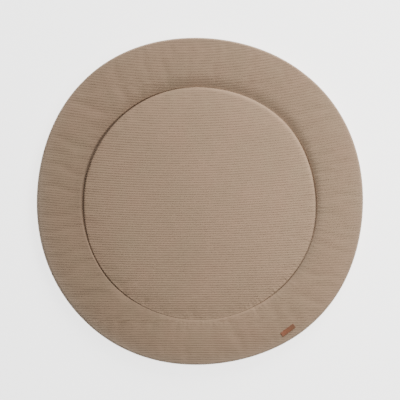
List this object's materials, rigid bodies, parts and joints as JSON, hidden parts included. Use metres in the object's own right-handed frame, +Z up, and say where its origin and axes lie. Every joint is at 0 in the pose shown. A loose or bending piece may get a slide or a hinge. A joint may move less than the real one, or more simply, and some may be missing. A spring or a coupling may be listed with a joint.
{
  "type": "playpen mat",
  "caption": "Round padded playpen mat with a ribbed cover, quilted by one circular seam into a raised middle and a puffed border, with a small leather tag.",
  "frame": {"origin": "under the middle of the mat's outline, on the plane that it lies on", "axes": "+Z up out of the ribbed face; +X to the right and +Y to the top of the picture, so the tag is towards +X and -Y"},
  "size_m": [0.8966, 0.8972, 0.0391],
  "materials": {
    "ribbed_cloth": "taupe wide-rib velvety cloth, matt with a soft sheen",
    "tan_leather": "bare reddish tan leather, satin"
  },
  "bodies": {
    "root": {"mat": "ribbed_cloth", "tag": "tan_leather"}
  },
  "joints": []
}
